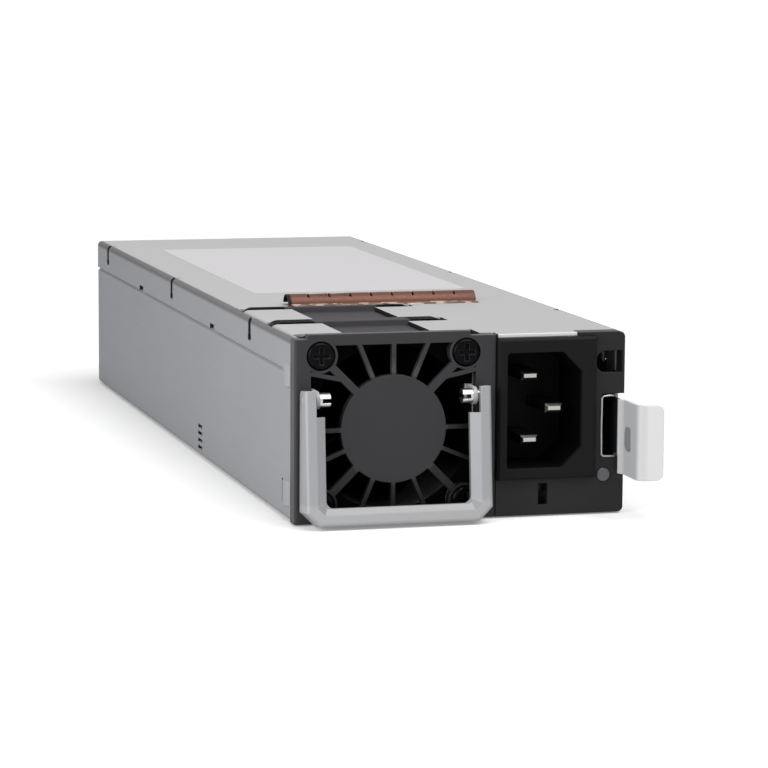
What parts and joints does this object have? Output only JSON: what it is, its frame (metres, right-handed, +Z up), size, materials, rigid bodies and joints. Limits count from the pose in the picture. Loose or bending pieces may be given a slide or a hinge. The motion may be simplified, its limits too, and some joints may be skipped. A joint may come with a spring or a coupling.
{
  "type": "hot swap server power supply",
  "caption": "Long flat steel power supply module with a fan grille and mains inlet on its face, a folding pull handle, a sprung side latch and a card edge output at the rear.",
  "frame": {"origin": "centre of the case's underside: midway between the side walls and midway between the plane of the front panels and the rear wall", "axes": "+Z up, -Y out of the front face with the inlet and the handle, +Y the way the module slides in, +X to the right seen from the front"},
  "size_m": [0.079, 0.251, 0.042],
  "materials": {
    "galvanised_steel": "zinc coated sheet, satin",
    "handle_steel": "nickel plated sheet, satin",
    "spring_steel": "bright spring strip",
    "steel": "plain turned steel",
    "dark_screw": "black oxide",
    "contact_copper": "tarnished copper alloy spring",
    "bezel_plastic": "fine texture, charcoal",
    "panel_plastic": "fine texture, charcoal",
    "inlet_plastic": "matte black",
    "fan_plastic": "matte black",
    "impeller_plastic": "matte black",
    "lens_plastic": "milky clear",
    "pin_plating": "nickel plated brass",
    "magnet": "dark bonded magnet",
    "motor_core": "laminated core with enamelled wire",
    "bearing_steel": "ground",
    "board_green": "solder mask",
    "board_gold": "gold plated copper",
    "insulator": "thin film sheet",
    "ceramic": "glazed",
    "surge_blue": "dipped coating",
    "ferrite": "matte grey",
    "core_coat": "epoxy coating",
    "copper_wire": "enamelled",
    "film_yellow": "moulded case",
    "relay_black": "moulded case",
    "connector_white": "moulded",
    "lead_sleeve": "woven sleeve",
    "capacitor_sleeve": "shrink sleeve",
    "heatsink": "extruded",
    "device_black": "moulded package",
    "coil_tape": "wrapped in tape",
    "bus_copper": "tinned copper bar",
    "lamp": "clear moulded"
  },
  "bodies": {
    "case": {"base_chassis": "galvanised_steel", "top_cover": "galvanised_steel", "cover_screws": "steel", "contact_strip": "contact_copper", "fan_bezel": "bezel_plastic", "grille_screws": "dark_screw", "inlet_panel": "panel_plastic", "status_lens": "lens_plastic", "status_lamp": "lamp", "inlet_body": "inlet_plastic", "line_pin": "pin_plating", "neutral_pin": "pin_plating", "earth_pin": "pin_plating", "handle_bracket": "galvanised_steel", "bracket_screw": "steel", "handle_pivots": "steel", "latch_rivets": "steel", "fan_front_frame": "fan_plastic", "fan_front_stator": "motor_core", "fan_rear_frame": "fan_plastic", "fan_rear_stator": "motor_core", "fan_bearings": "bearing_steel", "fan_motor_boards": "board_green", "insulator_sheet": "insulator", "board_posts": "steel", "main_board": "board_green", "board_screws": "steel", "edge_contacts": "board_gold", "line_fuse": "ceramic", "surge_disc": "surge_blue", "line_choke_core": "core_coat", "line_choke_windings": "copper_wire", "filter_choke_core": "core_coat", "filter_choke_windings": "copper_wire", "x_capacitor": "film_yellow", "inrush_relay": "relay_black", "fan_connector": "connector_white", "fan_lead": "lead_sleeve", "boost_choke_core": "core_coat", "boost_choke_windings": "copper_wire", "bulk_capacitor": "capacitor_sleeve", "primary_heatsink": "heatsink", "power_transistors": "device_black", "bridge_rectifier": "device_black", "transformer_core": "ferrite", "transformer_windings": "coil_tape", "standby_transformer": "coil_tape", "control_board": "board_green", "rectifier_heatsink": "heatsink", "output_capacitors": "capacitor_sleeve", "bus_bars": "bus_copper"},
    "handle": {"handle": "handle_steel"},
    "latch": {"latch_leaf": "spring_steel"},
    "front_rotor": {"fan_front_impeller": "impeller_plastic", "fan_front_shaft": "bearing_steel", "fan_front_magnet": "magnet"},
    "rear_rotor": {"fan_rear_impeller": "impeller_plastic", "fan_rear_shaft": "bearing_steel", "fan_rear_magnet": "magnet"}
  },
  "joints": [
    {"name": "handle_swing", "type": "hinge", "parent": "case", "child": "handle", "pos_m": [-0.01535, -0.1174, 0.0269], "axis": [-1, 0, 0], "range_deg": [0, 90]},
    {"name": "latch_press", "type": "hinge", "parent": "case", "child": "latch", "pos_m": [0.03545, -0.0454, 0.0188], "axis": [0, 0, -1], "range_deg": [0, 2.5], "stiffness_Nm_per_rad": 1, "springref_deg": -1.72},
    {"name": "front_fan_spin", "type": "hinge", "parent": "case", "child": "front_rotor", "pos_m": [-0.01505, -0.096, 0.0199], "axis": [0, 1, 0], "continuous": true},
    {"name": "rear_fan_spin", "type": "hinge", "parent": "case", "child": "rear_rotor", "pos_m": [-0.01505, -0.072, 0.0199], "axis": [0, -1, 0], "continuous": true}
  ]
}
